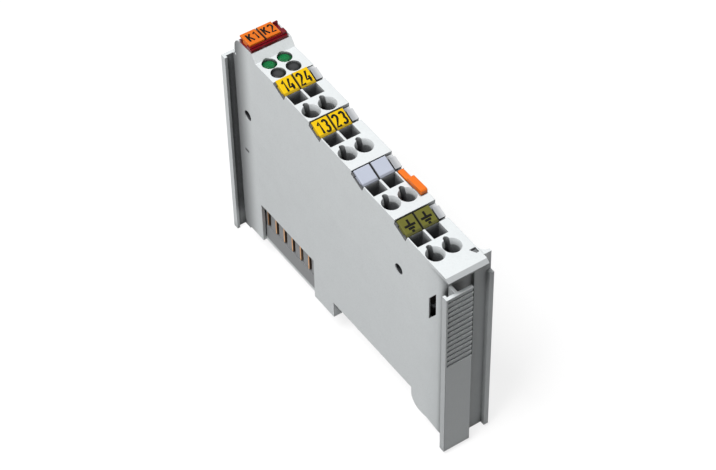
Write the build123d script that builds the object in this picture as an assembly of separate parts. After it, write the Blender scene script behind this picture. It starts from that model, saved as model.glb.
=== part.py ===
from build123d import *
import os

# Slim relay output module for a mounting rail. All sizes are in millimetres.
# X runs across the module, Y along it towards the lamp end, Z out of the connection face.
# The origin is on the rail's centre line, at the rail's front edge, in the middle of the width.

# Overall sizes
width = 12.0
rail_to_near_end = 32.0
split_z = 32.5
body_bottom = -5.6
wall = 1.0
cover_thickness = 1.0
end_gap = 3.6
near_ledge_z = 51.7
far_ledge_z = 55.9

# Mounting rail recess and its fixed hook
rail_width = 35.0
rail_play = 0.2
recess_corner = 3.6
hook_reach = 1.2
hook_top = -1.3
hook_bottom = -3.6

# End plates, and the hollows beside them that take the neighbour's tongues
plate_thickness = 1.0
plate_width = 8.0
near_plate_top = 45.4
near_plate_bottom = -11.7
far_plate_top = 50.8
far_plate_bottom = -12.8
plate_return = 1.8
return_width = 0.8
web_start = 3.1
web_thickness = 0.85
hollow_run = 6.0
hollow_corner = 2.2
hollow_skin = 0.4
near_gusset = (8.0, 3.3)
far_gusset = (6.0, 2.0)
gusset_bulge = (0.25, 0.52)
latch_depth = 2.4
latch_near = 5.4
latch_length = 2.0
latch_bottom = 35.1
latch_height = 7.3
latch_slant = 2.75
mark_radius = 1.55
mark_depth = 6.0
far_mark = (56.2, 38.0)
near_mark = (-12.3, 39.3)

# Tongues on the cover
tongue_play = 0.15
tongue_face = 2.6
tongue_hook_start = 1.6
tongue_hook_face = 1.2
tongue_root = 1.95

# Grip teeth on the near end plate
grip_pitch = 1.76
grip_count = 14
grip_depth = 0.45
grip_border = 0.5

# Connection face: one row of two terminals every few millimetres, from the lamp end down
row_y = (29.0, 13.0, -5.5, -23.75)
row_face = (59.0, 57.0, 55.1, 53.0)
row_slope = 0.035
step_offset = 13.2
lip_reach = 0.6
lip_run = 1.05
lip_step = 0.55
lip_step_x = 5.7
corner_notch = (1.8, 1.7)
corner_notch_start = 3.1
corner_notch_depth = 0.8

# Tags and the carriers they clip on
end_block_width = 1.9
tag_gap = 0.3
tag_start = 8.1
tag_rise = 0.1
tag_tilt = 22.5
tag_length = 4.9
tag_thickness = 0.65
tag_foot_start = 1.3
tag_foot_length = 2.3
tag_foot_depth = 0.6
carrier_base = 0.35
carrier_play = 0.12
clip_play = 0.05
foot_play = 0.15
end_block_near = 0.6
end_block_far = 1.1
end_block_sink = 0.35

# Terminals, lined up with the tags
funnel_shift = (0.05, 0.15)
funnel_radius = 2.5
wire_radius = 1.9
funnel_depth = 1.7
key_width = 1.5
key_reach = 3.35
opening_start = 4.0
opening_length = 3.95
opening_shift = -0.15
opening_margin = 0.3
chamber_margin = 0.6
chamber_start = -2.9
chamber_length = 11.0
chamber_roof = 4.4

# Cage clamps and the current bars they press the wires on
clamp_drop = 10.5
clamp_up = 5.0
clamp_down = 6.0
clamp_reach = 7.0
clamp_front = 1.8
clamp_tail = 3.5
clamp_bend = 2.0
clamp_margin = 0.9
strip_thickness = 0.45
tab_thickness = 0.75
clamp_rail = 0.3
tab_near = 0.95
tab_rise = 3.5
tab_play = 0.1
bar_height = 0.8

# Status lamps beside the first row, then the seat with the red carrier
lamp_gap = 2.46
lamp_pitch = 4.14
lamp_shift = (0.5, 0.3)
lamp_radius = 2.02
lamp_play = 0.05
lamp_sink = 0.75
lamp_dome = 0.55
lamp_flare = 1.2
lamp_stem_radius = 1.3
lamp_cap = 2.2
lamp_face = 60.05
led_size = 1.4
led_height = 0.7
led_play = 0.1
lamp_board_z = 50.0
lamp_board_thickness = 0.8
lamp_board_margin = 2.9
ramp_gap = 1.8
ramp_length = 1.8
seat_length = 8.2
seat_z = 62.4
block_corner = 3.0
ledge_length = 3.8
group_sink = 0.1
group_length = 5.6
group_base = 0.9
group_margin = 0.9
group_tag_top = 64.45
group_tag_start = 0.9
group_step = 0.45

# Circuit board and what stands on it
comb_thickness = 1.3
board_thickness = 1.0
board_play = 0.1
board_top = 31.0
board_bottom = 2.4
board_end_play = 8.4
arm_margin = 1.6
standoff_radius = 1.5
relay_length = 19.0
relay_height = 15.0
relay_play = 0.8
relay_foot = 0.5
relay_z = 12.0
relay_y = (24.0, -22.6)
chip_size = (10.0, 9.0)
chip_place = (5.0, 9.5)
chip_thickness = 1.5
leg_pitch = 1.27
leg_width = 0.45
leg_reach = 0.8
capacitor_first = (10.0, 26.5)
capacitor_pitch = 5.0
capacitor_radius = 2.0
capacitor_height = 5.2
resistor_first = (5.0, 20.6)
resistor_pitch = 3.0
resistor_size = (0.6, 1.6, 0.8)

# Data contacts in the left wall and their mating springs in the cover
window_length = 25.4
window_gap = 12.2
window_top = 8.2
comb_play = 0.4
slot_gap = 0.9
slot_pitch = 3.98
slot_width = 1.75
slot_bottom = 0.6
slot_count = 6
slot_wall = 0.3
rib_step = 0.2
blade_thickness = 0.65
blade_height = 6.9
spring_bulge = 1.8
rim_gap = (3.0, 12.0)
spring_strip = 0.3
spring_width = 0.8

# Release tab, rail catch and return spring
slide_play = 0.3
stem_inset = 2.05
stem_thickness = 0.7
stem_near = -1.0
stem_far = 2.2
stem_bottom = 3.4
wedge_rise = 2.0
wedge_low = 7.4
wedge_width = 2.2
pad_near = -7.6
pad_far = -1.6
pad_width = 1.9
pad_height = 1.3
pad_bevel = 0.35
pad_sink = 0.25
shelf_z = 12.0
shelf_thickness = 1.0
shelf_far = 6.2
shelf_reach = 3.0
spring_inset = 1.75
spring_y = 4.4
spring_radius = 1.15
spring_wire = 0.32
spring_turns = 4
post_z = 24.0
post_length = 2.9
post_width = 2.7
catch_width = 3.0
catch_inset = 4.5
catch_z = 1.4
catch_thickness = 1.2
catch_reach = 1.3
catch_post_top = 11.0
catch_post_width = 1.5

# Values that follow from the sizes above
left = -width / 2
right = width / 2
near = -rail_to_near_end
lamp_y = tuple(row_y[0] + step_offset + lamp_gap + lamp_pitch * step for step in (1, 0))
ramp_foot = lamp_y[0] + ramp_gap
ramp_top = ramp_foot + ramp_length
block_far = ramp_top + seat_length
body_far = block_far + ledge_length
far = body_far + end_gap
body_near = near + end_gap
recess = rail_width / 2 + rail_play
inner_left = left + wall
inner_right = right - cover_thickness
board_x = inner_left + comb_thickness + board_play
board_right = board_x + board_thickness
tag_width = (width - end_block_width - 2 * tag_gap - 0.5) / 2
tag_x = (left + tag_gap + tag_width / 2, left + 2 * tag_gap + tag_width * 1.5)
carrier_depth = tag_thickness + clip_play + tag_foot_depth + carrier_base
funnel_x = tuple(x + shift for x, shift in zip(tag_x, funnel_shift))
lamp_x = tuple(x + shift for x, shift in zip(tag_x, lamp_shift))
group_start = ramp_top - group_sink
group_foot_depth = group_tag_top - tag_thickness - seat_z - carrier_base - clip_play
lamp_board_near = lamp_y[1] - lamp_board_margin
lamp_board_far = lamp_y[0] + lamp_board_margin
board_far = body_far - board_end_play
board_near = body_near + board_end_play - 1.0
window_far = body_far - window_gap
window_near = window_far - window_length
slot_first = window_far - slot_gap
stem_x = right - stem_inset
catch_x = right - catch_inset
spring_x = stem_x - spring_inset
clamp_half = (tag_width - chamber_margin - clamp_margin) / 2
hole_half = clamp_half - clamp_rail
tab_half = hole_half - tab_play
rows = range(len(row_y))
sides = ("left", "right")


def block(x0, x1, y0, y1, z0, z1):
    """A rectangular block between two opposite corners."""
    centre = Pos((x0 + x1) / 2, (y0 + y1) / 2, (z0 + z1) / 2)
    return centre * Box(x1 - x0, y1 - y0, z1 - z0)


def upright(x, y, z0, z1, radius):
    """A round bar along Z."""
    return Pos(x, y, (z0 + z1) / 2) * Cylinder(radius, z1 - z0)


def crosswise(y, z, x0, x1, radius):
    """A round bar along X."""
    return Pos((x0 + x1) / 2, y, z) * Rot(0, 90, 0) * Cylinder(radius, x1 - x0)


def profile(points, x0, x1):
    """A side profile of (y, z) points, as thick as from x0 to x1."""
    outline = make_face(Polyline(*points, close=True))
    return extrude(Plane.YZ.offset(x0) * outline, x1 - x0)


def face_at(row, y):
    """Height of the sloping face beside one row."""
    return row_face[row] + row_slope * (y - row_y[row])


def on_tag(row):
    """Place and tilt of one row's tags: Y along the tag, Z out of it."""
    low = row_y[row] + tag_start
    return Pos(0, low, row_face[row] + tag_rise) * Rot(tag_tilt, 0, 0)


def from_end(end_y, inward, start, stop):
    """Two places measured inward from one end of the module, in rising order."""
    return sorted((end_y + inward * start, end_y + inward * stop))


def hollow(end_y, inward, z0, z1, skin=0):
    """The upright hollow at one end: the wall rounds inward to the web in two tangent arcs."""
    start = end_y + inward * (end_gap + hollow_run)
    plate = end_y + inward * plate_thickness
    across, along = web_start - hollow_corner, hollow_run - hollow_corner
    # Radius of the larger arc, from the rule that the arcs touch where they meet
    large = (web_start ** 2 + along ** 2 - hollow_corner ** 2) / (2 * across)
    reach = (hollow_corner - skin) / (large - hollow_corner)
    meet = (
        left + web_start - (large - web_start) * reach,
        start - inward * along - inward * along * reach
    )
    first = (left + skin, start)
    last = (left + web_start, end_y + inward * (end_gap + skin))
    wide = TangentArc(first, meet, tangent=(0, -inward))
    tight = TangentArc(meet, last, tangent=wide % 1)
    rest = Polyline(last, (last[0], plate), (left - 1, plate), (left - 1, start), first)
    outline = make_face(Curve() + [wide, tight, rest])
    return extrude(Pos(0, 0, z0) * outline, z1 - z0, dir=(0, 0, 1))


def hollows(skin=0):
    """Both hollows of the left wall, or with a skin the walls round them as well."""
    at_near = hollow(near, 1, near_plate_bottom - 1, near_ledge_z, skin)
    at_far = hollow(far, -1, far_plate_bottom - 1, far_ledge_z + 1, skin)
    return at_near, at_far


def body_profile(x0, x1, inset):
    """Side profile of the lower body, drawn in from its edges by inset."""
    low = body_bottom + inset
    half = recess + inset
    points = [
        (body_near + inset, low), (-half, low), (-half, inset), (half, inset),
        (half, low), (body_far - inset, low), (body_far - inset, split_z),
        (body_near + inset, split_z),
    ]
    solid = profile(points, x0, x1)
    if inset == 0:
        corner = [e for e in solid.edges().filter_by(Axis.X)
                  if abs(e.center().Y + half) < 0.01 and abs(e.center().Z - low) < 0.01]
        solid = fillet(corner, recess_corner)
    return solid


def end_plate(end_y, inward, top, bottom):
    """A T-shaped end: the plate, its turned edge and the web to the body."""
    plate = block(
        left, left + plate_width, *from_end(end_y, inward, 0, plate_thickness), bottom, top
    )
    turned = block(
        left, left + return_width, *from_end(end_y, inward, 0, plate_return), bottom, top
    )
    web = block(
        left + web_start, left + web_start + web_thickness,
        *from_end(end_y, inward, plate_thickness / 2, end_gap), bottom, top
    )
    return plate + turned + web


def gusset(end_y, inward, reach, bottom):
    """The curved corner below the body that carries the lower end of the web."""
    start, stop = reach
    drop = body_bottom - bottom
    first = (end_y + inward * start, body_bottom)
    last = (end_y + inward * stop, bottom)
    middle = (
        end_y + inward * (stop + gusset_bulge[0] * (start - stop)),
        body_bottom - gusset_bulge[1] * drop
    )
    top = body_bottom + wall
    sides_of_it = Polyline(last, (last[0], top), (first[0], top), first)
    outline = make_face(Curve() + [ThreePointArc(first, middle, last), sides_of_it])
    return extrude(Plane.YZ.offset(left) * outline, web_start + wall)


def housing():
    """The tray: left wall, end walls, floor, rail recess, end plates and grip."""
    tray = body_profile(left, inner_right, 0)
    tray -= body_profile(inner_left, inner_right + 1, wall)
    # The wall keeps its thickness round both hollows
    corners = block(left, left + web_start, body_near, body_far, body_bottom, split_z)
    for thick in hollows(wall):
        tray += corners & thick
    tray += gusset(near, 1, near_gusset, near_plate_bottom)
    tray += gusset(far, -1, far_gusset, far_plate_bottom)
    for cut in hollows():
        tray -= cut
    tray += end_plate(near, 1, near_plate_top, near_plate_bottom)
    tray += end_plate(far, -1, far_plate_top, far_plate_bottom)
    hook = [(recess, hook_top), (recess - hook_reach, hook_top - 0.3),
            (recess - hook_reach, hook_bottom + 0.9), (recess, hook_bottom)]
    tray += profile(hook, left + 1.5, inner_right - 1)
    tray -= grip()
    tray -= block(left - 1, inner_left, window_near, window_far, body_bottom - 1, window_top)
    tray -= catch_slot()
    for y in (board_near + 3, board_far - 2):
        for z in (board_bottom + 7, board_top - 4):
            tray += crosswise(y, z, inner_left, board_x, standoff_radius)
    return tray


def grip():
    """Saw teeth across the near end plate, each with its ledge on top."""
    points = [(near - 1, near_plate_top - grip_count * grip_pitch)]
    for tooth in range(grip_count, 0, -1):
        low = near_plate_top - tooth * grip_pitch
        points += [(near + grip_depth, low), (near, low + grip_pitch)]
    points.append((near - 1, near_plate_top))
    return profile(points, left + grip_border, left + plate_width + 1)


def catch_slot():
    """Opening in the recess wall that the catch's nose slides through."""
    half = catch_width / 2 + slide_play
    x0, x1 = catch_x - half, catch_x + half
    return block(
        x0, x1, -recess - wall - 0.5, -recess + 1, hook_bottom - slide_play,
        hook_top + slide_play
    )


def cover():
    """The right wall with the tongues that hook into the next module."""
    plate = body_profile(inner_right, right, 0)
    rim_play = 0.1
    rim = body_profile(inner_right - 0.8, inner_right, wall + rim_play)
    rim -= body_profile(inner_right - 2, inner_right + 1, wall + rim_play + 0.8)
    rim -= block(left, right, -recess - rim_gap[0], -recess + rim_gap[1], body_bottom, split_z)
    plate += rim
    plate += tongue(near, 1, near_plate_top, near_ledge_z, near_plate_bottom)
    plate += tongue(far, -1, far_plate_top, far_ledge_z, far_plate_bottom)
    for slot in range(slot_count):
        y = slot_first - slot * slot_pitch
        plate -= block(
            inner_right - 1, right + 1, y - slot_width, y, slot_bottom, window_top
        )
    return plate


def tongue(end_y, inward, shoulder, ledge, bottom):
    """A tongue that fills the next module's hollow and hooks behind its plate."""
    body = Pos(width, 0, 0) * hollow(end_y, inward, bottom, ledge - tongue_play, -tongue_play)
    low, high = bottom - 1, ledge + 1
    hook_x = right + tongue_hook_start
    body -= block(0, right, *from_end(end_y, inward, -1, 20), low, high)
    body -= block(0, hook_x, *from_end(end_y, inward, -1, tongue_face), low, high)
    body -= block(0, width, *from_end(end_y, inward, -1, tongue_hook_face), low, high)
    body -= block(0, width, *from_end(end_y, inward, -1, tongue_face), shoulder, high)
    body -= block(
        right + web_start - tongue_play, width, *from_end(end_y, inward, -1, 20), low, high
    )
    root = block(
        right - tongue_root, right + 0.5, *from_end(end_y, inward, tongue_face, end_gap),
        bottom, split_z
    )
    rise = block(
        right - tongue_root, right, *from_end(end_y, inward, tongue_face, end_gap),
        split_z, shoulder
    )
    return body + root + rise


def terminal_block():
    """The connection face with its wire funnels, tool openings and clamp chambers."""
    points = [
        (body_near, split_z), (body_near, near_ledge_z),
        (near - lip_reach, near_ledge_z), (near - lip_reach + lip_run, face_at(3, near)),
    ]
    for row in reversed(rows):
        step_y = row_y[row] + step_offset
        above = face_at(row - 1, step_y) if row else lamp_face
        points += [(step_y, face_at(row, step_y)), (step_y, above)]
    points += [
        (ramp_foot, lamp_face), (ramp_top, seat_z), (block_far, seat_z),
        (block_far, far_ledge_z), (body_far, far_ledge_z), (body_far, split_z),
    ]
    solid = profile(points, left, right)
    far_corner = [e for e in solid.edges().filter_by(Axis.X)
                  if abs(e.center().Y - block_far) < 0.01 and abs(e.center().Z - seat_z) < 0.01]
    solid = fillet(far_corner, block_corner)
    solid += lip_underside()
    for cut in hollows():
        solid -= cut
    near_wall = hollows(hollow_skin)[0]
    for row in rows:
        solid -= carrier_pocket(row)
        for side in range(2):
            solid -= terminal_space(row, side) - near_wall
    for x in lamp_x:
        for y in lamp_y:
            solid -= upright(x, y, split_z, lamp_face + 3, lamp_radius)
    solid -= lamp_space()
    solid -= tab_slot()
    for y, z in (far_mark, near_mark):
        solid -= crosswise(y, z, left - 1, left + mark_depth, mark_radius)
    solid -= latch_slot()
    solid -= corner_mark()
    x0 = spring_x - post_width / 2
    y0 = spring_y - post_length / 2
    solid += block(x0, x0 + post_width, y0, y0 + post_length, post_z, split_z + 0.5)
    return solid


def lip_underside():
    """What hangs under the lip: its deeper right part, and the wall behind the tongue."""
    deeper = block(
        left + lip_step_x, right, near - lip_reach * 0.8, body_near,
        near_ledge_z - lip_step, near_ledge_z
    )
    behind = block(
        right - tongue_root, right, near + tongue_face, body_near,
        near_plate_top, near_ledge_z - lip_step
    )
    return deeper + behind


def latch_slot():
    """Slanting slot in the rounding of the near end."""
    y0, y1 = near + latch_near, near + latch_near + latch_length
    top = latch_bottom + latch_height
    points = [(y0, latch_bottom), (y0, top), (y1, top - latch_slant), (y1, latch_bottom - latch_slant)]
    return profile(points, left - 1, left + latch_depth)


def corner_mark():
    """Small tapered notch in the face at the near right corner."""
    x0, y1 = right - 0.3 - corner_notch[0], near + corner_notch_start + corner_notch[1]
    outline = Polyline(
        (x0, y1), (x0 + corner_notch[0], y1), (x0 + corner_notch[0], y1 - corner_notch[1]),
        (x0 + corner_notch[0] / 2, y1 - corner_notch[1]), close=True
    )
    floor = face_at(3, y1) - corner_notch_depth
    return extrude(Pos(0, 0, floor) * make_face(outline), corner_notch_depth + 1)


def terminal_space(row, side):
    """Funnel with its keyhole slot, square tool opening and clamp chamber."""
    y, z = row_y[row], row_face[row]
    x = funnel_x[side]
    roof = z - chamber_roof
    rim = z + row_slope * 3
    funnel = Pos(x, y, rim - funnel_depth / 2) * Cone(wire_radius, funnel_radius, funnel_depth)
    hole = upright(x, y, roof - 1, rim, wire_radius)
    slot_end = y + key_reach - key_width / 2
    key = block(x - key_width / 2, x + key_width / 2, y, slot_end, roof - 1, z + 1)
    key += upright(x, slot_end, roof - 1, z + 1, key_width / 2)
    middle = tag_x[side] + opening_shift
    half = (tag_width - opening_margin) / 2
    opening = block(
        middle - half, middle + half, y + opening_start, y + opening_start + opening_length,
        roof - 1, z + 2
    )
    half = (tag_width - chamber_margin) / 2
    chamber = block(
        tag_x[side] - half, tag_x[side] + half,
        y + chamber_start, y + chamber_start + chamber_length, split_z - 1, roof
    )
    return funnel + hole + key + opening + chamber


def carrier_pocket(row):
    """Tilted slot across the face that one marker carrier snaps into."""
    pocket = block(
        left - 1, right + 1, -carrier_play, tag_length + carrier_play,
        -carrier_depth - carrier_play, 4
    )
    return on_tag(row) * pocket


def lamp_space():
    """Chamber under the lamps, open below to the circuit board."""
    return block(
        left + wall, right - wall, lamp_board_near - slide_play, lamp_board_far + slide_play,
        split_z - 1, lamp_face - lamp_cap
    )


def tab_slot():
    """Slot beside the third row for the release tab's stem, and the shallow bed of its pad."""
    slot = block(
        stem_x - slide_play, stem_x + stem_thickness + slide_play,
        stem_near - slide_play, stem_far + slide_play, split_z - 1, row_face[2] + 2
    )
    bed = block(
        stem_x - slide_play, right + 1, pad_near - slide_play, stem_far + slide_play,
        tab_bed(), row_face[2] + 2
    )
    return slot + bed


def tab_bed():
    """Height of the floor of the pad's bed."""
    return face_at(2, pad_near) - pad_sink


def marker_carrier(row):
    """Strip that two tags clip on; its right end is a block."""
    floor = -carrier_depth
    top = -tag_thickness - clip_play
    strip = block(left, right, 0, tag_length, floor, floor + carrier_base)
    foot_far = tag_foot_start + tag_foot_length
    for u0, u1 in ((0, tag_foot_start - foot_play), (foot_far + foot_play, tag_length)):
        for side in range(2):
            half = tag_width / 2
            x0 = left if side == 0 else tag_x[1] - half
            strip += block(x0, tag_x[side] + half, u0, u1, floor, top)
    strip += block(
        right - end_block_width, right, end_block_near, tag_length - end_block_far,
        floor, -end_block_sink
    )
    return on_tag(row) * strip


def tag(x, foot_depth):
    """One tag in its own frame: the plate and the foot that clips in the carrier."""
    half = tag_width / 2
    plate = block(x - half, x + half, 0, tag_length, -tag_thickness, 0)
    rim = plate.edges().filter_by(GeomType.LINE).group_by(Axis.Z)[-1]
    plate = chamfer(rim, 0.12)
    foot = block(
        x - half, x + half, tag_foot_start, tag_foot_start + tag_foot_length,
        -tag_thickness - foot_depth, -tag_thickness
    )
    return plate + foot


def group_carrier():
    """Red clear carrier on the seat beside the lamps."""
    y0, y1 = group_start, group_start + group_length
    end_x = right - group_margin
    open_x = tag_x[1] + tag_width / 2 + foot_play
    foot_y = y0 + group_tag_start + tag_foot_start
    foot_end = foot_y + tag_foot_length
    floor = seat_z + group_base
    plate_low = group_tag_top - tag_thickness - clip_play
    base = block(left, end_x, y0, y1, seat_z, floor)
    base += block(left, end_x, y0 + group_step, foot_y - foot_play, floor, plate_low)
    base += block(left, end_x, foot_end + foot_play, y1 - group_step, floor, plate_low)
    base += block(
        open_x, end_x, y0 + group_step, foot_y, floor, group_tag_top - end_block_sink
    )
    base += block(
        open_x, end_x, y1 - 2 * group_step, y1 - group_step, floor, group_tag_top
    )
    return base - block(
        left - 1, open_x, foot_y - foot_play, foot_end + foot_play, seat_z + carrier_base, floor + 1
    )


def group_tag(side):
    """One orange tag on the red carrier."""
    place = Pos(0, group_start + group_tag_start, group_tag_top)
    return place * tag(tag_x[side], group_foot_depth)


def lamp(x, y):
    """A lamp lens: domed cap, and the stem that takes the light up from its chip."""
    rim = lamp_face - lamp_sink
    cap_low = lamp_face - lamp_cap
    radius = lamp_radius - lamp_play
    cap = upright(x, y, cap_low, rim, radius)
    tip = radius - lamp_dome * lamp_flare
    dome = Pos(x, y, rim + lamp_dome / 2) * Cone(radius, tip, lamp_dome)
    stem_low = lamp_board_z + lamp_board_thickness + led_height + led_play
    return cap + dome + upright(x, y, stem_low, cap_low, lamp_stem_radius)


def lamp_board():
    """Small board across the module that carries the lamp chips."""
    return block(
        left + wall + 0.2, right - wall - 0.2, lamp_board_near, lamp_board_far,
        lamp_board_z, lamp_board_z + lamp_board_thickness
    )


def lamp_chips():
    """One light chip under each lamp stem."""
    low = lamp_board_z + lamp_board_thickness
    half = led_size / 2
    return [block(x - half, x + half, y - half, y + half, low, low + led_height)
            for x in lamp_x for y in lamp_y]


def circuit_board():
    """Main board, with an arm up to the lamp board."""
    arm_near = lamp_board_near + arm_margin
    points = [
        (board_near, board_bottom), (board_far, board_bottom), (board_far, board_top),
        (lamp_board_far, board_top), (lamp_board_far, lamp_board_z),
        (arm_near, lamp_board_z), (arm_near, board_top), (board_near, board_top),
    ]
    return profile(points, board_x, board_right)


def relay(y):
    """Sealed relay can on the board, with its foot rim."""
    can = block(
        board_right + relay_foot, inner_right - relay_play, y, y + relay_length,
        relay_z, relay_z + relay_height
    )
    can = chamfer(can.edges().filter_by(Axis.X), relay_foot)
    rim = block(
        board_right, board_right + relay_foot, y + relay_foot, y + relay_length - relay_foot,
        relay_z + relay_foot, relay_z + relay_height - relay_foot
    )
    return can + rim


def chip():
    """Flat chip with two rows of legs on the board's right face."""
    (y, z), (long, tall) = chip_place, chip_size
    body = block(board_right + 0.1, board_right + chip_thickness, y, y + long, z, z + tall)
    for leg in range(int(long / leg_pitch) - 1):
        y0 = y + leg_pitch * (leg + 0.8)
        body += block(
            board_right, board_right + 0.3, y0, y0 + leg_width, z - leg_reach, z + tall + leg_reach
        )
    return body


def capacitors():
    """Three round capacitors standing on the board."""
    y, z = capacitor_first
    return [
        crosswise(
            y + step * capacitor_pitch, z, board_right, board_right + capacitor_height,
            capacitor_radius
        )
        for step in range(3)
    ]


def resistors():
    """A row of small chip resistors between the relays."""
    (y, z), (thick, long, tall) = resistor_first, resistor_size
    places = [y + step * resistor_pitch for step in range(4)]
    return [block(board_right, board_right + thick, y0, y0 + long, z, z + tall) for y0 in places]


def clamp_spring(row, side):
    """Cage clamp: a bent spring strip with a window in its lower leg."""
    y, z = row_y[row], row_face[row] - clamp_drop
    back = tab_near + tab_thickness + 0.02 + strip_thickness / 2
    path = FilletPolyline(
        (back, -clamp_tail), (back, clamp_up), (clamp_reach, clamp_up),
        (clamp_reach, -clamp_down), (-clamp_front, -clamp_down),
        radius=(clamp_bend, clamp_bend, clamp_bend / 2)
    )
    x = tag_x[side]
    strip = trace(path, strip_thickness)
    strip = extrude(Plane.YZ.offset(x - clamp_half) * strip, 2 * clamp_half)
    window = block(
        x - hole_half, x + hole_half, tab_near - clamp_front, back - 0.05,
        -clamp_down - 1, 1 - clamp_down
    )
    return Pos(0, y, z) * (strip - window)


def current_bar(row, side):
    """Upright contact tab beside the wire, run down to the circuit board."""
    x, y = tag_x[side], row_y[row]
    top = row_face[row] - clamp_drop + tab_rise
    y0, y1 = y + tab_near, y + tab_near + tab_thickness
    if side == 0:
        return block(x - tab_half, x + tab_half, y0, y1, board_top, top)
    low = board_top - 2 * bar_height
    tab = block(x - tab_half, x + tab_half, y0, y1, low, top)
    return tab + block(board_right, x + tab_half, y0, y1, low, low + bar_height)


def linked_bar(row):
    """Contact tabs of both terminals of one row, joined into one bar."""
    y = row_y[row]
    y0, y1 = y + tab_near, y + tab_near + tab_thickness
    top = row_face[row] - clamp_drop + tab_rise
    bar = block(tag_x[0] - tab_half, tag_x[1] + tab_half, y0, y1, board_top, board_top + bar_height)
    for x in tag_x:
        bar += block(x - tab_half, x + tab_half, y0, y1, board_top, top)
    return bar


def contact_comb():
    """Insulator behind the window in the left wall, with a slot for each contact."""
    y0, y1 = window_near + comb_play, window_far - comb_play
    back = inner_left + comb_thickness
    comb = block(inner_left + rib_step, back, y0, y1, body_bottom + wall, window_top + wall)
    comb += block(inner_left, back, y0, y1, body_bottom + wall, slot_bottom - rib_step)
    comb += block(inner_left, back, y0, y1, window_top, window_top + wall)
    for slot in range(slot_count):
        y = slot_first - slot * slot_pitch
        comb -= block(
            inner_left - 1, back - slot_wall, y - slot_width, y, slot_bottom, window_top
        )
    return comb


def data_contacts():
    """Flat contact blades on the lamp side of each slot."""
    blades = []
    for slot in range(slot_count):
        y = slot_first - slot * slot_pitch
        blades.append(block(
            inner_left + rib_step, inner_left + comb_thickness - slot_wall,
            y - blade_thickness, y, slot_bottom, slot_bottom + blade_height
        ))
    return blades


def bus_springs():
    """Bowed contact springs that reach out of the cover to the next module."""
    springs = []
    z0, z1 = slot_bottom + slot_wall, window_top - slot_wall
    for slot in range(slot_count):
        y = slot_first - slot * slot_pitch - slot_width / 2
        bow = Polyline(
            (inner_right - wall, z0), (right, z0 + 0.6), (right + spring_bulge, (z0 + z1) / 2),
            (right, z1 - 0.6), (inner_right - wall, z1)
        )
        section = Plane.XZ.offset(-y + spring_width / 2) * trace(bow, spring_strip)
        springs.append(extrude(section, spring_width, dir=(0, 1, 0)))
    return springs


def contact_base():
    """Insulator inside the cover that carries the bus springs."""
    return block(
        inner_right - wall - comb_thickness, inner_right - wall - spring_strip / 2,
        slot_first - slot_count * slot_pitch + slot_width, slot_first + comb_play,
        slot_bottom - wall, window_top + comb_play
    )


def release_tab():
    """Orange pull tab: raised pad on the face, flat stem, spring shelf and wedge."""
    low = tab_bed() + slide_play
    x1 = stem_x + pad_width
    x2 = stem_x + stem_thickness
    pad = block(stem_x, x1, pad_near, pad_far, low, low + pad_height)
    pad = chamfer(pad.edges().filter_by(Axis.X).group_by(Axis.Z)[-1], pad_bevel)
    strip = block(stem_x, x1 - pad_bevel, pad_far - pad_bevel, stem_far, low, low + pad_height / 3)
    stem = block(stem_x, x2, stem_near, stem_far, wedge_low, low + pad_bevel / 2)
    shelf = block(
        stem_x - shelf_reach, x2, stem_near, shelf_far, shelf_z, shelf_z + shelf_thickness
    )
    wedge_top = wedge_low + 2 * wedge_rise
    wedge = [
        (stem_far, stem_bottom), (stem_near - wedge_rise, stem_bottom),
        (stem_near - wedge_rise, wedge_low), (stem_near, wedge_top), (stem_far, wedge_top),
    ]
    return pad + strip + stem + shelf + profile(wedge, stem_x - wedge_width, x2)


def rail_catch():
    """Catch that grips the rail's edge; the tab's wedge draws it back."""
    x0, x1 = catch_x - catch_width / 2, catch_x + catch_width / 2
    front = -recess - wall - slide_play
    back = front - catch_thickness
    top = catch_z + catch_thickness
    meet = stem_near - wedge_rise - slide_play - 0.05
    arm = block(x0, x1, back, meet, catch_z, top)
    leg = block(x0, x1, back, front, hook_bottom, top)
    tip = -recess + catch_reach
    nose = [(front, hook_top), (tip, hook_top - 0.3), (tip, hook_bottom + 0.9),
            (front, hook_bottom)]
    slope_top = meet + (catch_post_top - wedge_low) / 2
    post = [(meet - 2.5, catch_z), (meet, catch_z), (meet, wedge_low),
            (slope_top, catch_post_top), (slope_top - 1.2, catch_post_top),
            (meet - 2.5, wedge_low)]
    return arm + leg + profile(nose, x0, x1) + profile(post, x1 - catch_post_width, x1)


def return_spring():
    """Coil between the tab's shelf and the post under the connection face."""
    z0 = shelf_z + shelf_thickness + spring_wire / 2
    height = post_z - spring_wire / 2 - z0
    line = Helix(height / spring_turns, height, spring_radius)
    section = Plane(origin=line @ 0, z_dir=line % 0) * Rectangle(spring_wire, spring_wire)
    return Pos(spring_x, spring_y, z0) * sweep(section, path=line)


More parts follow.
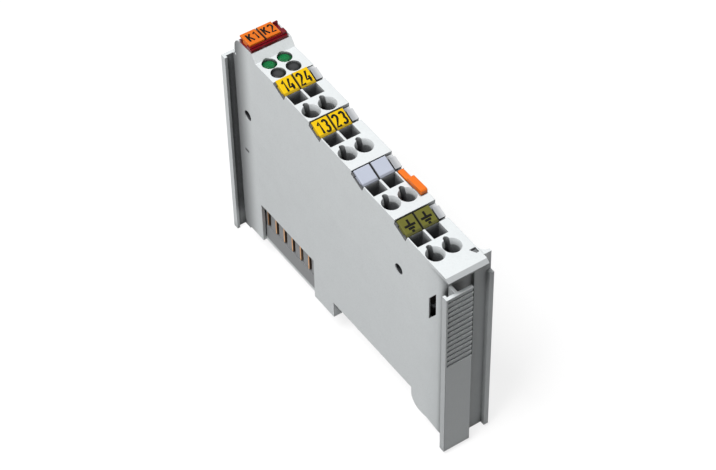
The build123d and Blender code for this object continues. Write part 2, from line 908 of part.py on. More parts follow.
def build_all():
    """Every node of the module, by name."""
    nodes = {
        "housing": housing(),
        "side_cover": cover(),
        "terminal_block": terminal_block(),
        "group_marker_carrier": group_carrier(),
        "lamp_board": lamp_board(),
        "lamp_chips": lamp_chips(),
        "circuit_board": circuit_board(),
        "relay_1": relay(relay_y[0]),
        "relay_2": relay(relay_y[1]),
        "bus_chip": chip(),
        "capacitors": capacitors(),
        "resistors": resistors(),
        "contact_comb": contact_comb(),
        "data_contacts": data_contacts(),
        "bus_spring_base": contact_base(),
        "bus_springs": bus_springs(),
        "release_tab": release_tab(),
        "rail_catch": rail_catch(),
        "return_spring": return_spring(),
    }
    for side, name in enumerate(sides):
        nodes[f"group_tag_{name}"] = group_tag(side)
    for row in rows:
        nodes[f"marker_carrier_{row + 1}"] = marker_carrier(row)
        for side, name in enumerate(sides):
            nodes[f"tag_row{row + 1}_{name}"] = on_tag(row) * tag(tag_x[side], tag_foot_depth)
            nodes[f"clamp_row{row + 1}_{name}"] = clamp_spring(row, side)
        if row < 2:
            for side, name in enumerate(sides):
                nodes[f"current_bar_row{row + 1}_{name}"] = current_bar(row, side)
        else:
            nodes[f"current_bar_row{row + 1}"] = linked_bar(row)
    for pair, y in enumerate(lamp_y):
        for side, name in enumerate(sides):
            nodes[f"lamp_{pair + 1}_{name}"] = lamp(lamp_x[side], y)
    return nodes


os.makedirs("parts", exist_ok=True)
for node, shape in build_all().items():
    solids = shape if isinstance(shape, list) else [shape]
    export_step(Compound(children=[s for part in solids for s in part.solids()]), f"parts/{node}.step")
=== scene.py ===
import math

import bpy
from mathutils import Matrix, Vector


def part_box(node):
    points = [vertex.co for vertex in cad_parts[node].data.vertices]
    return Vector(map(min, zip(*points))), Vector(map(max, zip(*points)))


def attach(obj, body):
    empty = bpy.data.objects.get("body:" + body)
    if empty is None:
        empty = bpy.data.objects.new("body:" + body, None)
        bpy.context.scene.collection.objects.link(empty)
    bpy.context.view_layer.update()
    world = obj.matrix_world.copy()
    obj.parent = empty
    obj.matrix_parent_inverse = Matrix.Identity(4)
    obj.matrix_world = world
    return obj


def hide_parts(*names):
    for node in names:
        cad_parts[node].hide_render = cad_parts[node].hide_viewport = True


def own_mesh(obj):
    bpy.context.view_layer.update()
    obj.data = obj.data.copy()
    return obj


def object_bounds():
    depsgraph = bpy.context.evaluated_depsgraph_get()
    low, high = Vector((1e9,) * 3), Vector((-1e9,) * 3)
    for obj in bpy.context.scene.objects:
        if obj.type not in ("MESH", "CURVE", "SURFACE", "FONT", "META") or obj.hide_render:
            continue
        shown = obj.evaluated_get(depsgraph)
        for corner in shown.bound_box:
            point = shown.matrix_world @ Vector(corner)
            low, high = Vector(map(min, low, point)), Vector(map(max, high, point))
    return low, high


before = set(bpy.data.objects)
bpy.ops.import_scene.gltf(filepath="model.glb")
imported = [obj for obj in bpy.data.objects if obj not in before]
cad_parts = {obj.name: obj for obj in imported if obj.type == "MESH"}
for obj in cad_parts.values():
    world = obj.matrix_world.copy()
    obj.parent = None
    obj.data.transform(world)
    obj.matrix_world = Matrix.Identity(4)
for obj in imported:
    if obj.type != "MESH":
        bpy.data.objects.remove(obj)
cad_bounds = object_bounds()


# Tray and side cover. Both are injection moulded in one light grey, glass filled plastic.
# The mould leaves a fine matt grain, slightly rounded edges and faint flow clouds. Its
# edges are painted a little paler, partly as handling wear and partly as painted highlight,
# and its recesses, the left wall's ends, hole floors and a slit carry painted shade.

FLOAT, COLOUR, VECTOR = "NodeSocketFloat", "NodeSocketColor", "NodeSocketVector"
OCCLUSION_SAMPLES = 6
BEVEL_SAMPLES = 4
CLOUD_ROUGHNESS = 0.12
LIGHT_GREY = (0.617, 0.643, 0.651)
# Painted shade laid into holes, slots and grooves
RECESS_PAINTED_SHADE = (0.028, 0.029, 0.031, 1)

# Lengths and places on the left wall in metres; a place is its Y and its Z. Here and
# below, GROWS is where a mask starts and stops growing, and SHARE how strong it gets.
MARK_PLACES = ((0.0562, 0.0380), (-0.0123, 0.0393))
MARK_RADIUS = 0.0016
MARK_RIM = 0.0003
MARK_DEPTH = 0.0045
MARK_SHADE = (0.018, 0.019, 0.021)
SLIT_PLACE = (0.0578, 0.0243)
SLIT_HALF = (0.00095, 0.00042)
WALL_SKIN = 0.0002
WALL_SHADE = (0.03, 0.032, 0.035)
END_DEPTH = 0.0030
FAR_END_GROWS = (0.0535, 0.0615)
FAR_EDGE_GROWS = (0.0662, 0.0650)
FAR_END_SHARE = 0.88
NEAR_END_GROWS = (-0.0250, -0.0320)
NEAR_END_SHARE = 0.30
UPRIGHT_BELOW = 0.5


def feed(socket, value):
    """Give a socket a fixed value, or link another socket's result to it."""
    if isinstance(value, bpy.types.NodeSocket):
        socket.id_data.links.new(value, socket)
    else:
        socket.default_value = value


def new_group(name, inputs, outputs):
    """An empty node group, its input values and its result sockets."""
    group = bpy.data.node_groups.new(name, "ShaderNodeTree")
    for socket, kind, value in inputs:
        added = group.interface.new_socket(socket, in_out="INPUT", socket_type=kind)
        added.default_value = value
    for socket, kind in outputs:
        group.interface.new_socket(socket, in_out="OUTPUT", socket_type=kind)
    given = group.nodes.new("NodeGroupInput").outputs
    results = group.nodes.new("NodeGroupOutput").inputs
    return group, given, results


def use_group(nodes, group, values):
    """A node group put to use with the given values."""
    node = nodes.new("ShaderNodeGroup")
    node.node_tree = group
    for socket, value in values.items():
        feed(node.inputs[socket], value)
    return node


def math_node(nodes, operation, *values):
    """A Math node's result; each value is a number or a socket."""
    node = nodes.new("ShaderNodeMath")
    node.operation = operation
    for socket, value in zip(node.inputs, values):
        feed(socket, value)
    return node.outputs["Value"]


def product(nodes, result, *factors):
    """All the values multiplied together."""
    for factor in factors:
        result = math_node(nodes, "MULTIPLY", result, factor)
    return result


def ramp(nodes, value, start, stop, low=0.0, high=1.0, kind="LINEAR"):
    """Goes from low to high while the value goes from start to stop."""
    node = nodes.new("ShaderNodeMapRange")
    node.interpolation_type = kind
    for socket, given in (("Value", value), ("From Min", start), ("From Max", stop),
                          ("To Min", low), ("To Max", high)):
        feed(node.inputs[socket], given)
    return node.outputs["Result"]


def soft_step(nodes, value, start, stop):
    """A mask that grows smoothly from start to stop."""
    return ramp(nodes, value, start, stop, kind="SMOOTHSTEP")


def within(nodes, value, low, high):
    """One where the value lies between two limits, else nothing."""
    return product(nodes, math_node(nodes, "GREATER_THAN", value, low),
                   math_node(nodes, "LESS_THAN", value, high))


def noise(nodes, place, scale, detail):
    """A cloudy pattern between 0 and 1."""
    node = nodes.new("ShaderNodeTexNoise")
    for socket, given in (("Vector", place), ("Scale", scale), ("Detail", detail)):
        feed(node.inputs[socket], given)
    return node.outputs["Fac"]


def mix_colours(nodes, factor, first, second, blend="MIX"):
    """The second colour over the first, as far as the factor says."""
    node = nodes.new("ShaderNodeMix")
    node.data_type = "RGBA"
    node.blend_type = blend
    for socket, given in (("Factor", factor), ("A", first), ("B", second)):
        feed(node.inputs[socket], given)
    return node.outputs["Result"]


def bump(nodes, values):
    """A Bump node's normal, from the values of its sockets."""
    node = nodes.new("ShaderNodeBump")
    for socket, value in values.items():
        feed(node.inputs[socket], value)
    return node.outputs["Normal"]


def axes(nodes, vector):
    """The X, Y and Z of a vector."""
    node = nodes.new("ShaderNodeSeparateXYZ")
    feed(node.inputs["Vector"], vector)
    return node.outputs["X"], node.outputs["Y"], node.outputs["Z"]


def place_on_object(nodes, kind="Object"):
    """The X, Y and Z of the shaded point in the object's frame, or as shares of its box."""
    return axes(nodes, nodes.new("ShaderNodeTexCoord").outputs[kind])


def facing(nodes):
    """The X, Y and Z of the surface's normal."""
    return axes(nodes, nodes.new("ShaderNodeNewGeometry").outputs["Normal"])


def recess_shade_group():
    """A painted shade mask that grows towards the bottom of holes and slots, where they close in.
    """
    group, given, results = new_group(
        "recess shade", (("Reach", FLOAT, 0.0), ("Strength", FLOAT, 0.0)), (("Mask", FLOAT),))
    nodes = group.nodes
    openness = nodes.new("ShaderNodeAmbientOcclusion")
    openness.samples = OCCLUSION_SAMPLES
    feed(openness.inputs["Distance"], given["Reach"])
    closed = ramp(nodes, openness.outputs["AO"], start=0.68, stop=0.22)
    feed(results["Mask"], product(nodes, closed, given["Strength"]))
    return group


recess_shade = recess_shade_group()


def moulded_skin_group():
    """Grain, clouds, specks and soft edges of moulded plastic; edges paler as wear and painted
    highlight, recesses in painted shade.
    """
    group, given, results = new_group("moulded skin", (
        ("Colour", COLOUR, (0.6, 0.6, 0.6, 1)), ("Edge Colour", COLOUR, (0.7, 0.7, 0.7, 1)),
        ("Roughness", FLOAT, 0.5), ("Grain Depth", FLOAT, 0.00001), ("Cloud", FLOAT, 0.05),
        ("Edge Radius", FLOAT, 0.00015), ("Wear And Highlight", FLOAT, 0.5),
        ("Recess Reach", FLOAT, 0.003), ("Painted Recess Shade", FLOAT, 0.0), ("Speckle", FLOAT, 0.0),
    ), (("Colour", COLOUR), ("Roughness", FLOAT), ("Normal", VECTOR)))
    nodes = group.nodes
    place = nodes.new("ShaderNodeTexCoord").outputs["Object"]
    grain = noise(nodes, place, scale=5000.0, detail=3.0)
    cloud = noise(nodes, place, scale=160.0, detail=4.0)
    fibres = noise(nodes, place, scale=2600.0, detail=1.0)

    soft = nodes.new("ShaderNodeBevel")
    soft.samples = BEVEL_SAMPLES
    feed(soft.inputs["Radius"], given["Edge Radius"])
    bend = nodes.new("ShaderNodeVectorMath")
    bend.operation = "DOT_PRODUCT"
    feed(bend.inputs[0], soft.outputs["Normal"])
    feed(bend.inputs[1], nodes.new("ShaderNodeNewGeometry").outputs["Normal"])
    edge = ramp(nodes, bend.outputs["Value"], start=0.995, stop=0.80)
    worn_and_highlit = product(nodes, edge, cloud, given["Wear And Highlight"])

    clouded = ramp(nodes, cloud, start=0.3, stop=0.7,
                   low=math_node(nodes, "SUBTRACT", 1.0, given["Cloud"]))
    specked = ramp(nodes, fibres, start=0.45, stop=0.70, low=1.0,
                   high=math_node(nodes, "SUBTRACT", 1.0, given["Speckle"]))
    # Painted shade in recesses, darker where a point is more closed in
    recess_shade_mask = use_group(nodes, recess_shade, {
        "Reach": given["Recess Reach"], "Strength": given["Painted Recess Shade"]}).outputs["Mask"]
    colour = mix_colours(nodes, 1.0, given["Colour"], clouded, "MULTIPLY")
    colour = mix_colours(nodes, 1.0, colour, specked, "MULTIPLY")
    # Edges paler, partly handling wear and partly painted highlight
    colour = mix_colours(nodes, worn_and_highlit, colour, given["Edge Colour"])
    feed(results["Colour"], mix_colours(nodes, recess_shade_mask, colour, RECESS_PAINTED_SHADE))
    feed(results["Roughness"],
         math_node(nodes, "MULTIPLY_ADD", cloud, CLOUD_ROUGHNESS, given["Roughness"]))
    feed(results["Normal"], bump(nodes, {
        "Strength": 0.6, "Distance": given["Grain Depth"], "Height": grain,
        "Normal": soft.outputs["Normal"]}))
    return group


moulded_skin = moulded_skin_group()


def skinned_material(name, group, values):
    """A material whose shader takes every result of a skin; also its skin and shader."""
    material = bpy.data.materials.new(name)
    material.use_nodes = True
    nodes = material.node_tree.nodes
    shader = nodes["Principled BSDF"]
    skin = use_group(nodes, group, values)
    for result in skin.outputs:
        socket = "Base Color" if result.name == "Colour" else result.name
        feed(shader.inputs[socket], result)
    return material, skin, shader


def moulded_plastic(name, colour, edge_colour, roughness, grain_depth=0.00001, cloud=0.04,
                    edge_radius=0.00014, wear_and_highlight=0.4, painted_recess_shade=0.0, recess_reach=0.003,
                    speckle=0.0, gloss=0.4):
    """A plastic part's material; its shader carries the moulded skin."""
    material, _, shader = skinned_material(name, moulded_skin, {
        "Colour": (*colour, 1), "Edge Colour": (*edge_colour, 1), "Roughness": roughness,
        "Grain Depth": grain_depth, "Cloud": cloud, "Edge Radius": edge_radius, "Wear And Highlight": wear_and_highlight,
        "Painted Recess Shade": painted_recess_shade, "Recess Reach": recess_reach, "Speckle": speckle})
    shader.inputs["Specular IOR Level"].default_value = gloss
    return material


def finish_node(node, material):
    """Give a node of the solid model its finished material."""
    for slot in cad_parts[node].material_slots:
        slot.material = material


def darken(material, mask, colour):
    """Lay a colour over a material's base colour where the mask is."""
    base = material.node_tree.nodes["Principled BSDF"].inputs["Base Color"]
    feed(base, mix_colours(material.node_tree.nodes, mask, base.links[0].from_socket,
                           (*colour, 1)))


def shade_wall(material):
    """Painted shade on the left wall's blind hole floors and its two ends, and a slit painted
    dark.
    """
    nodes = material.node_tree.nodes
    x, y, z = place_on_object(nodes)
    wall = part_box("terminal_block")[0][0]
    on_wall = math_node(nodes, "LESS_THAN", x, wall + WALL_SKIN)
    near_wall = math_node(nodes, "LESS_THAN", x, wall + END_DEPTH)
    # Painted shade over the wall's two ends, on its upright faces
    far_end = product(nodes, soft_step(nodes, y, *FAR_END_GROWS),
                      soft_step(nodes, y, *FAR_EDGE_GROWS), FAR_END_SHARE, near_wall)
    near_end = product(nodes, soft_step(nodes, y, *NEAR_END_GROWS), NEAR_END_SHARE, on_wall)
    ends = math_node(nodes, "MAXIMUM", far_end, near_end)
    upright = math_node(nodes, "LESS_THAN", facing(nodes)[2], UPRIGHT_BELOW)
    darken(material, product(nodes, ends, upright), WALL_SHADE)
    # Painted shade on the floors of the blind holes
    in_hole = within(nodes, x, wall + MARK_RIM, wall + MARK_DEPTH)
    for place_y, place_z in MARK_PLACES:
        along = math_node(nodes, "SUBTRACT", y, place_y)
        up = math_node(nodes, "SUBTRACT", z, place_z)
        square = math_node(nodes, "ADD", product(nodes, along, along), product(nodes, up, up))
        hole = math_node(nodes, "LESS_THAN", square, MARK_RADIUS ** 2)
        darken(material, product(nodes, hole, in_hole), MARK_SHADE)
    # A slit painted in, dark as painted shade
    slit = [within(nodes, value, middle - half, middle + half)
            for value, middle, half in zip((y, z), SLIT_PLACE, SLIT_HALF)]
    darken(material, product(nodes, *slit, near_wall), WALL_SHADE)


light_grey = moulded_plastic("light grey moulding", LIGHT_GREY, (0.88, 0.89, 0.90), 0.46,
                             grain_depth=0.000018, edge_radius=0.00007, wear_and_highlight=0.9,
                             painted_recess_shade=1.15, recess_reach=0.006, speckle=0.05)
shade_wall(light_grey)
finish_node("housing", light_grey)
finish_node("side_cover", light_grey)


# Connection face. It is clipped into the tray and is moulded in the same grey, with a
# finer grain. Its front lip and the small notch beside the last row carry painted shade.

# In metres; the notch's corners are an X and a Y each
NOTCH_LOW = (0.00388, -0.0289)
NOTCH_HIGH = (0.00572, -0.0272)
NOTCH_DEPTH = 0.0010
NOTCH_SHADE = (0.14, 0.145, 0.15)
FACE_HEIGHT = 0.05375
FACE_SLOPE = 0.0350
LIP_END = -0.0300
LIP_FACING = -0.4
LIP_SHARE = 0.35
LIP_SHADE = (0.10, 0.105, 0.11)


def shade_face(material):
    """Painted light shade on the front lip, and painted shade in the tapered notch down to its
    floor.
    """
    nodes = material.node_tree.nodes
    x, y, z = place_on_object(nodes)
    lip = product(nodes, math_node(nodes, "LESS_THAN", facing(nodes)[1], LIP_FACING),
                  math_node(nodes, "LESS_THAN", y, LIP_END), LIP_SHARE)
    darken(material, lip, LIP_SHADE)
    surface = math_node(nodes, "MULTIPLY_ADD", y, FACE_SLOPE, FACE_HEIGHT)
    above = math_node(nodes, "SUBTRACT", z, surface)
    notch = product(nodes, within(nodes, x, NOTCH_LOW[0], NOTCH_HIGH[0]),
                    within(nodes, y, NOTCH_LOW[1], NOTCH_HIGH[1]),
                    within(nodes, above, -NOTCH_DEPTH, 0.0))
    darken(material, notch, NOTCH_SHADE)


face_grey = moulded_plastic("connection face moulding", LIGHT_GREY, (0.84, 0.85, 0.86), 0.42,
                            grain_depth=0.000014, painted_recess_shade=1.1, recess_reach=0.0055,
                            speckle=0.05)
shade_wall(face_grey)
shade_face(face_grey)
finish_node("terminal_block", face_grey)


# Circuit boards. Glass fibre boards under a green solder mask; the small upper one
# carries the lamp chips.

solder_mask = moulded_plastic("solder mask", (0.02, 0.16, 0.07), (0.35, 0.33, 0.20), 0.30,
                              cloud=0.25, wear_and_highlight=0.8)
finish_node("circuit_board", solder_mask)
finish_node("lamp_board", solder_mask)
chip_yellow = moulded_plastic("lamp chip resin", (0.75, 0.70, 0.40), (0.85, 0.82, 0.6), 0.35)
finish_node("lamp_chips", chip_yellow)


# Relays and small parts on the main board. Sealed black cans, a flat chip, round
# capacitors in sleeves and chip resistors.

relay_black = moulded_plastic("relay can", (0.03, 0.03, 0.035), (0.10, 0.10, 0.10), 0.30)
chip_black = moulded_plastic("chip resin", (0.02, 0.02, 0.02), (0.08, 0.08, 0.08), 0.55)
for node in ("relay_1", "relay_2"):
    finish_node(node, relay_black)
for node in ("bus_chip", "capacitors", "resistors"):
    finish_node(node, chip_black)


# Cage clamps, current bars, bus springs and contact blades. The clamps are bent from
# bright spring steel, the rest is stamped from copper alloy with a thin gold flash.
# Clamps carry painted shade deep down in their chambers, and blades along one edge.

ROLLING_STRETCH = (6000, 6000, 300)
PATCH_ROUGHNESS = 0.25
CLAMP_SHADE_TOP = 0.0380
CLAMP_SHADE_FADE = 0.0010
CLAMP_SHADE = (0.02, 0.021, 0.023)
STRIP_SHADE = (0.060, 0.064, 0.070, 1)
BLADES = 6
BLADE_WIDTH = 0.00065
BLADE_SHARE = 0.35
BLADE_FADE = 0.02
BLADE_SHADE = (0.06, 0.035, 0.02)


def rolled_metal_group():
    """Fine lines that rolling leaves on strip metal, dull patches of handling, and painted shade
    in recesses.
    """
    group, given, results = new_group("rolled metal", (
        ("Colour", COLOUR, (0.6, 0.6, 0.6, 1)), ("Dull Colour", COLOUR, (0.4, 0.4, 0.4, 1)),
        ("Roughness", FLOAT, 0.3),
    ), (("Colour", COLOUR), ("Roughness", FLOAT), ("Normal", VECTOR), ("Metallic", FLOAT)))
    nodes = group.nodes
    place = nodes.new("ShaderNodeTexCoord").outputs["Object"]
    stretch = nodes.new("ShaderNodeMapping")
    stretch.inputs["Scale"].default_value = ROLLING_STRETCH
    feed(stretch.inputs["Vector"], place)
    lines = noise(nodes, stretch.outputs["Vector"], scale=1.0, detail=2.0)
    patches = noise(nodes, place, scale=700.0, detail=5.0)
    # Painted shade in recesses, which also makes them matt and not metallic
    shade = use_group(nodes, recess_shade, {"Reach": 0.009, "Strength": 0.97}).outputs["Mask"]
    colour = mix_colours(nodes, patches, given["Colour"], given["Dull Colour"])
    rough = math_node(nodes, "MULTIPLY_ADD", patches, PATCH_ROUGHNESS, given["Roughness"])
    feed(results["Colour"], mix_colours(nodes, shade, colour, STRIP_SHADE))
    feed(results["Roughness"], math_node(nodes, "MAXIMUM", rough, shade))
    feed(results["Metallic"], math_node(nodes, "SUBTRACT", 1.0, shade))
    feed(results["Normal"], bump(nodes, {"Strength": 0.4, "Distance": 0.00001, "Height": lines}))
    return group


rolled_metal = rolled_metal_group()


def strip_metal(name, colour, dull_colour, roughness):
    """Material of a part bent or stamped from strip."""
    return skinned_material(name, rolled_metal, {
        "Colour": (*colour, 1), "Dull Colour": (*dull_colour, 1), "Roughness": roughness})[0]


def shade_clamps(material):
    """Painted shade on the clamps deep down in their chambers."""
    nodes = material.node_tree.nodes
    height = place_on_object(nodes)[2]
    deep = soft_step(nodes, height, CLAMP_SHADE_TOP, CLAMP_SHADE_TOP - CLAMP_SHADE_FADE)
    darken(material, deep, CLAMP_SHADE)


def shade_blades(material):
    """Painted shade on each blade's edge towards the near end."""
    nodes = material.node_tree.nodes
    low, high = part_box("data_contacts")
    pitch = (high[1] - low[1] - BLADE_WIDTH) / (BLADES - 1)
    from_near = math_node(nodes, "SUBTRACT", place_on_object(nodes)[1], low[1])
    turn = math_node(nodes, "FRACT", math_node(nodes, "DIVIDE", from_near, pitch))
    dark = BLADE_SHARE * BLADE_WIDTH / pitch
    darken(material, soft_step(nodes, turn, dark + BLADE_FADE, dark - BLADE_FADE), BLADE_SHADE)


spring_steel = strip_metal("spring steel", (0.62, 0.61, 0.59), (0.40, 0.40, 0.39), 0.22)
shade_clamps(spring_steel)
contact_metal = strip_metal("contact metal", (0.86, 0.50, 0.24), (0.62, 0.33, 0.14), 0.22)
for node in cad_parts:
    if node.startswith("clamp_") or node == "return_spring":
        finish_node(node, spring_steel)
    if node.startswith("current_bar_") or node == "bus_springs":
        finish_node(node, contact_metal)
blade_metal = strip_metal("blade metal", (0.74, 0.40, 0.17), (0.52, 0.26, 0.10), 0.25)
shade_blades(blade_metal)
finish_node("data_contacts", blade_metal)


# Contact comb and the base of the bus springs. Plain insulators pressed into the two
# side walls, in a darker grey than the tray.

comb_grey = moulded_plastic("insulator moulding", (0.22, 0.225, 0.23), (0.36, 0.365, 0.37), 0.45,
                            painted_recess_shade=0.9, recess_reach=0.004)
finish_node("contact_comb", comb_grey)
finish_node("bus_spring_base", comb_grey)


# Status lamps. Each lens and its light guide is one piece of clear tinted plastic,
# polished on the dome, with painted shade towards its rim, where it goes down into the face.

PALER_GAIN, PALER_LIFT = 1.5, 0.02
PRISM_SCALE = 1500.0
RIM_GROWS = (0.01, 0.13)
RIM_SHADE = (0.008, 0.009, 0.009)


def tinted_clear(name, colour, roughness, clearness, facet_depth=0.0, rim=0.0):
    """Clear plastic with a tint and a polished skin, prisms moulded in where it has depth, and
    painted rim shade.
    """
    paler = [min(1, channel * PALER_GAIN + PALER_LIFT) for channel in colour]
    material, skin, shader = skinned_material(name, moulded_skin, {
        "Colour": (*colour, 1), "Edge Colour": (*paler, 1), "Roughness": roughness,
        "Grain Depth": 0.000002, "Cloud": 0.15})
    for socket, value in (("IOR", 1.49), ("Transmission Weight", clearness),
                          ("Coat Weight", 0.06), ("Specular IOR Level", 0.12)):
        shader.inputs[socket].default_value = value
    nodes = material.node_tree.nodes
    prisms = nodes.new("ShaderNodeTexVoronoi")
    prisms.inputs["Scale"].default_value = PRISM_SCALE
    feed(prisms.inputs["Vector"], nodes.new("ShaderNodeTexCoord").outputs["Object"])
    feed(shader.inputs["Normal"], bump(nodes, {
        "Distance": facet_depth, "Height": prisms.outputs["Distance"],
        "Normal": skin.outputs["Normal"]}))
    # Painted shade towards the rim of the dome
    if rim:
        offsets = [math_node(nodes, "SUBTRACT", share, 0.5)
                   for share in place_on_object(nodes, "Generated")[:2]]
        spread = math_node(nodes, "ADD", *[product(nodes, o, o) for o in offsets])
        darken(material, product(nodes, soft_step(nodes, spread, *RIM_GROWS), rim), RIM_SHADE)
    return material


green_lens = tinted_clear("green lens", (0.0005, 0.178, 0.045), 0.22, 0.15, facet_depth=0.0003,
                          rim=0.35)
smoked_lens = tinted_clear("smoked lens", (0.042, 0.043, 0.045), 0.35, 0.05, rim=0.75)
for side in ("left", "right"):
    finish_node("lamp_1_" + side, green_lens)
    finish_node("lamp_2_" + side, smoked_lens)


# Marker carriers. Four grey strips across the face, one above each row of terminals,
# moulded in a tough plastic that the tags clip on.

# Painted shade on each carrier's clip end and painted light on its right block
CLIP_GROWS = (0.0016, 0.0006)
CLIP_SHARE = 0.85
CLIP_SHADE = (0.03, 0.031, 0.033)
BLOCK_LENGTH = 0.0016
BLOCK_SHARE = 0.5
BLOCK_PAINTED_LIGHT = (0.70, 0.71, 0.72)


def shade_carrier(material):
    """Painted shade on the clip end by the wall, and painted light on the block at the right."""
    nodes = material.node_tree.nodes
    x = place_on_object(nodes)[0]
    left, right = cad_bounds[0][0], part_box("terminal_block")[1][0]
    # Painted shade on the clip end by the wall
    clip = soft_step(nodes, x, left + CLIP_GROWS[0], left + CLIP_GROWS[1])
    darken(material, product(nodes, clip, CLIP_SHARE), CLIP_SHADE)
    # Painted light on the block at the right
    block = soft_step(nodes, x, right - BLOCK_LENGTH, right)
    darken(material, product(nodes, block, BLOCK_SHARE), BLOCK_PAINTED_LIGHT)


carrier_grey = moulded_plastic("carrier moulding", (0.30, 0.31, 0.325), (0.44, 0.445, 0.46),
                               0.40, painted_recess_shade=0.95, recess_reach=0.0018)
shade_carrier(carrier_grey)
for row in range(1, 5):
    finish_node("marker_carrier_%d" % row, carrier_grey)


# Tags. Small plates that clip on the carriers; the upper two rows are yellow with a
# printed terminal number, the third is blank and the fourth olive with an earth sign.

TAG_TILT = math.radians(22.5)
TAG_LENGTH = 0.0049
TAG_RISE = 0.00183
TAG_EDGE = 0.00005
GAP_GROWS = (0.00040, 0.00022)
GAP_SHARE = 0.93
NEAR_EDGE_GROWS = (0.17, 0.09)
NEAR_EDGE_SHARE = 0.5
TAG_SHADE = (0.01, 0.01, 0.008)

# The print's height and its lift off the tag are in metres, the rest are shares
SIGN_HEIGHT = 0.0033
SIGN_WIDTH = 0.60
SIGN_ADVANCE = {"1": 0.36}
SIGN_GAP = 0.26
SIGN_NARROW = 0.72
STROKE_SHARE = 0.19
PRINT_LIFT = 0.00001
PRINT_FLATNESS = 0.08


def round_stroke(centre, radii, start, stop, steps=12):
    """Points of an elliptical stroke, its angles in degrees."""
    turns = [math.radians(start + (stop - start) * step / steps) for step in range(steps + 1)]
    return [(centre[0] + radii[0] * math.cos(t), centre[1] + radii[1] * math.sin(t))
            for t in turns]


SIGN_STROKES = {
    "1": [[(0.06, 0.76), (0.30, 1.0), (0.30, 0.0)]],
    "2": [round_stroke((0.29, 0.74), (0.25, 0.26), 165, -25) + [(0.04, 0.0), (0.56, 0.0)]],
    "3": [round_stroke((0.28, 0.76), (0.23, 0.24), 150, -80),
          round_stroke((0.27, 0.27), (0.27, 0.27), 80, -150)],
    "4": [[(0.34, 1.0), (0.03, 0.27), (0.60, 0.27)], [(0.43, 0.52), (0.43, 0.0)]],
    "K": [[(0.06, 1.0), (0.06, 0.0)], [(0.56, 1.0), (0.06, 0.42)], [(0.24, 0.62), (0.60, 0.0)]],
    "earth": [[(0.30, 1.0), (0.30, 0.50)], [(-0.34, 0.50), (0.94, 0.50)],
              [(-0.06, 0.26), (0.66, 0.26)], [(0.14, 0.02), (0.46, 0.02)]],
}


def shade_tag(material, near_share):
    """Painted shade on the tags' edges by the gap between them and towards the near end."""
    nodes = material.node_tree.nodes
    middle = (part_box("tag_row1_left")[1][0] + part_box("tag_row1_right")[0][0]) / 2
    away = math_node(nodes, "ABSOLUTE",
                     math_node(nodes, "SUBTRACT", place_on_object(nodes)[0], middle))
    gap = product(nodes, soft_step(nodes, away, *GAP_GROWS), GAP_SHARE)
    along = place_on_object(nodes, "Generated")[1]
    near_edge_shade = product(nodes, soft_step(nodes, along, *NEAR_EDGE_GROWS), near_share)
    darken(material, math_node(nodes, "MAXIMUM", gap, near_edge_shade), TAG_SHADE)


tag_yellow = moulded_plastic("yellow tag", (0.70, 0.45, 0.0), (0.80, 0.56, 0.04), 0.5, gloss=0.2)
tag_blank = moulded_plastic("blank tag", (0.41, 0.44, 0.52), (0.58, 0.60, 0.66), 0.5, gloss=0.3)
tag_olive = moulded_plastic("olive tag", (0.112, 0.110, 0.018), (0.20, 0.20, 0.06), 0.5,
                            gloss=0.2)
for finish in (tag_yellow, tag_blank, tag_olive):
    shade_tag(finish, NEAR_EDGE_SHARE)
for row, finish in ((1, tag_yellow), (2, tag_yellow), (3, tag_blank), (4, tag_olive)):
    for side in ("left", "right"):
        finish_node("tag_row%d_%s" % (row, side), finish)
print_black = moulded_plastic("printed black", (0.012, 0.012, 0.012), (0.02, 0.02, 0.02), 0.8,
                              wear_and_highlight=0.0, gloss=0.05)


def printed_sign(signs, name, centre, tilt, height, narrow):
    """Flat printed signs that lie on a plate and read from the near end."""
    curve = bpy.data.curves.new(name, "CURVE")
    curve.dimensions = "3D"
    curve.bevel_depth = STROKE_SHARE * height / 2
    curve.bevel_resolution = 2
    curve.use_fill_caps = True
    widths = [SIGN_ADVANCE.get(sign, SIGN_WIDTH) for sign in signs]
    shift = -(sum(widths) + (len(signs) - 1) * SIGN_GAP) / 2
    for sign, width in zip(signs, widths):
        for stroke in SIGN_STROKES[sign]:
            spline = curve.splines.new("POLY")
            spline.points.add(len(stroke) - 1)
            for point, (across, up) in zip(spline.points, stroke):
                point.co = ((across + shift) * height * narrow, (up - 0.5) * height, 0.0, 1.0)
        shift += width + SIGN_GAP
    printed = bpy.data.objects.new(name, curve)
    bpy.context.collection.objects.link(printed)
    flat = Matrix.Diagonal((1.0, 1.0, PRINT_FLATNESS, 1.0))
    printed.matrix_world = Matrix.Translation(centre) @ Matrix.Rotation(tilt, 4, "X") @ flat
    curve.materials.append(print_black)
    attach(printed, "module")


for row, signs, slot in ((1, ("14", "24"), "yellow_tag"), (2, ("13", "23"), "yellow_tag"),
                         (4, (["earth"], ["earth"]), "olive_tag")):
    for side, text in zip(("left", "right"), signs):
        low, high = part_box("tag_row%d_%s" % (row, side))
        centre = Vector((
            (low[0] + high[0]) / 2,
            low[1] - TAG_EDGE + TAG_LENGTH / 2 * math.cos(TAG_TILT),
            high[2] - TAG_RISE + TAG_LENGTH / 2 * math.sin(TAG_TILT) + PRINT_LIFT,
        ))
        printed_sign(text, "sign_row%d_%s" % (row, side), centre, TAG_TILT, SIGN_HEIGHT,
                     SIGN_NARROW)


# Red carrier beside the lamps and its two orange tags. The carrier is clear red
# plastic; the tags lie flat and number the two relays.

RELAY_SIGN_HEIGHT = 0.0028
RELAY_SIGN_NARROW = 0.80

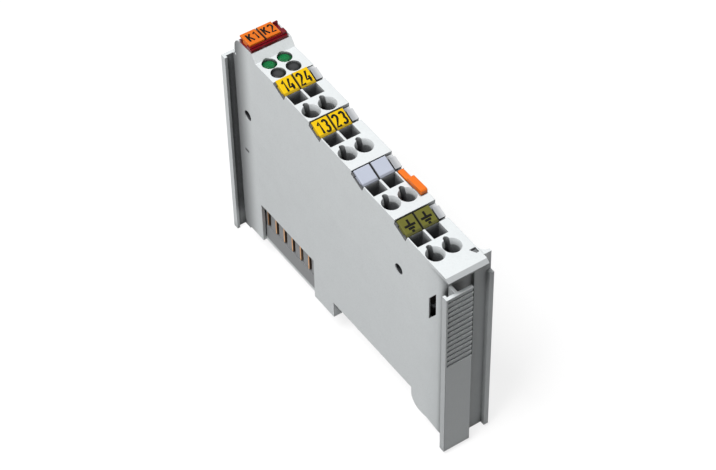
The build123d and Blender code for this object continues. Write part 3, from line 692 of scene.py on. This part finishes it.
red_clear = tinted_clear("red clear plastic", (0.20, 0.004, 0.012), 0.18, 0.25)
finish_node("group_marker_carrier", red_clear)
orange = moulded_plastic("orange moulding", (0.60, 0.130, 0.005), (0.84, 0.26, 0.05), 0.42,
                         gloss=0.3)
shade_tag(orange, 0.0)
for text, side in (("K1", "left"), ("K2", "right")):
    finish_node("group_tag_" + side, orange)
    low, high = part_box("group_tag_" + side)
    centre = Vector(((low[0] + high[0]) / 2, (low[1] + high[1]) / 2, high[2] + PRINT_LIFT))
    printed_sign(text, "channel_" + side, centre, 0.0, RELAY_SIGN_HEIGHT,
                 RELAY_SIGN_NARROW)


# Release tab, rail catch and return spring. The tab is orange; pulled, its wedge draws
# the catch off the rail, and the coil brings both back. A copy of the coil stands for it.

spring = bpy.data.objects.new("return_coil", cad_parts["return_spring"].data.copy())
bpy.context.collection.objects.link(spring)
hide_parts("return_spring")
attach(spring, "module")
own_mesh(spring)
tab_orange = moulded_plastic("tab moulding", (0.68, 0.140, 0.006), (0.95, 0.34, 0.08), 0.36)
finish_node("release_tab", tab_orange)
finish_node("rail_catch", comb_grey)


# Floor, world, two soft lamps and the camera at the photograph's angle. Floor and world
# are white to the camera, in reflections and through clear plastic, and dim as lights,
# so that the pale plastic keeps its shading and the floor the object's shadow.

FLOOR_HALF = 3.0
FLOOR_DROP = 0.0002
FLOOR_GREY = 0.18
FLOOR_GLOW = 0.80
STUDIO_LEVEL = 0.09
OBJECT_MIDDLE = (0.0, 0.015, 0.025)
CAMERA_RIGHT = Vector((0.824825, -0.565195, -0.014758))
CAMERA_UP = Vector((0.415950, 0.588928, 0.692929))
CAMERA_BACK = Vector((-0.382948, -0.577684, 0.720855))
CAMERA_PLACE = (-0.220265, -0.317898, 0.439624)
CAMERA_SENSOR = 36.0
CAMERA_LENS = 113.04
CAMERA_CLIP = 0.01


def seen_rays(nodes):
    """One for rays from the camera, from reflections and through clear parts."""
    rays = nodes.new("ShaderNodeLightPath").outputs
    return math_node(nodes, "MAXIMUM", rays["Is Camera Ray"],
                     math_node(nodes, "MAXIMUM", rays["Is Glossy Ray"],
                               rays["Is Transmission Ray"]))


def soft_box(name, place, aim, size, power):
    """A square studio light that points at the object."""
    lamp = bpy.data.lights.new(name, "AREA")
    lamp.size = size
    lamp.energy = power
    holder = bpy.data.objects.new(name, lamp)
    bpy.context.collection.objects.link(holder)
    holder.location = place
    holder.visible_camera = False
    holder.rotation_euler = (Vector(aim) - Vector(place)).to_track_quat("-Z", "Y").to_euler()


floor_z = cad_bounds[0][2] - FLOOR_DROP
mesh = bpy.data.meshes.new("floor")
mesh.from_pydata([(-FLOOR_HALF, -FLOOR_HALF, floor_z), (FLOOR_HALF, -FLOOR_HALF, floor_z),
                  (FLOOR_HALF, FLOOR_HALF, floor_z), (-FLOOR_HALF, FLOOR_HALF, floor_z)],
                 [], [(0, 1, 2, 3)])
floor = bpy.data.objects.new("floor", mesh)
bpy.context.collection.objects.link(floor)
floor_paper = bpy.data.materials.new("white paper floor")
floor_paper.use_nodes = True
floor_nodes = floor_paper.node_tree.nodes
shader = floor_nodes["Principled BSDF"]
shader.inputs["Base Color"].default_value = (FLOOR_GREY, FLOOR_GREY, FLOOR_GREY, 1)
shader.inputs["Roughness"].default_value = 0.9
shader.inputs["Emission Color"].default_value = (1, 1, 1, 1)
feed(shader.inputs["Emission Strength"],
     product(floor_nodes, seen_rays(floor_nodes), FLOOR_GLOW))
floor.data.materials.append(floor_paper)

world = bpy.data.worlds.new("studio")
bpy.context.scene.world = world
world.use_nodes = True
world_nodes = world.node_tree.nodes
background = world_nodes["Background"]
background.inputs["Color"].default_value = (1, 1, 1, 1)
feed(background.inputs["Strength"],
     math_node(world_nodes, "MULTIPLY_ADD", seen_rays(world_nodes), 1.0 - STUDIO_LEVEL,
               STUDIO_LEVEL))

soft_box("key box", (-0.399, -0.066, 0.861), OBJECT_MIDDLE, size=0.40, power=12.6)
soft_box("side box", (0.75, 0.25, 0.13), OBJECT_MIDDLE, size=0.20, power=2.2)

camera_data = bpy.data.cameras.new("camera")
camera = bpy.data.objects.new("camera", camera_data)
bpy.context.collection.objects.link(camera)
turn = Matrix((CAMERA_RIGHT, CAMERA_UP, CAMERA_BACK)).transposed().to_4x4()
camera.matrix_world = Matrix.Translation(CAMERA_PLACE) @ turn
camera_data.sensor_width = CAMERA_SENSOR
camera_data.lens = CAMERA_LENS
camera_data.clip_start = CAMERA_CLIP
bpy.context.scene.camera = camera
bpy.context.scene.view_settings.view_transform = "Standard"
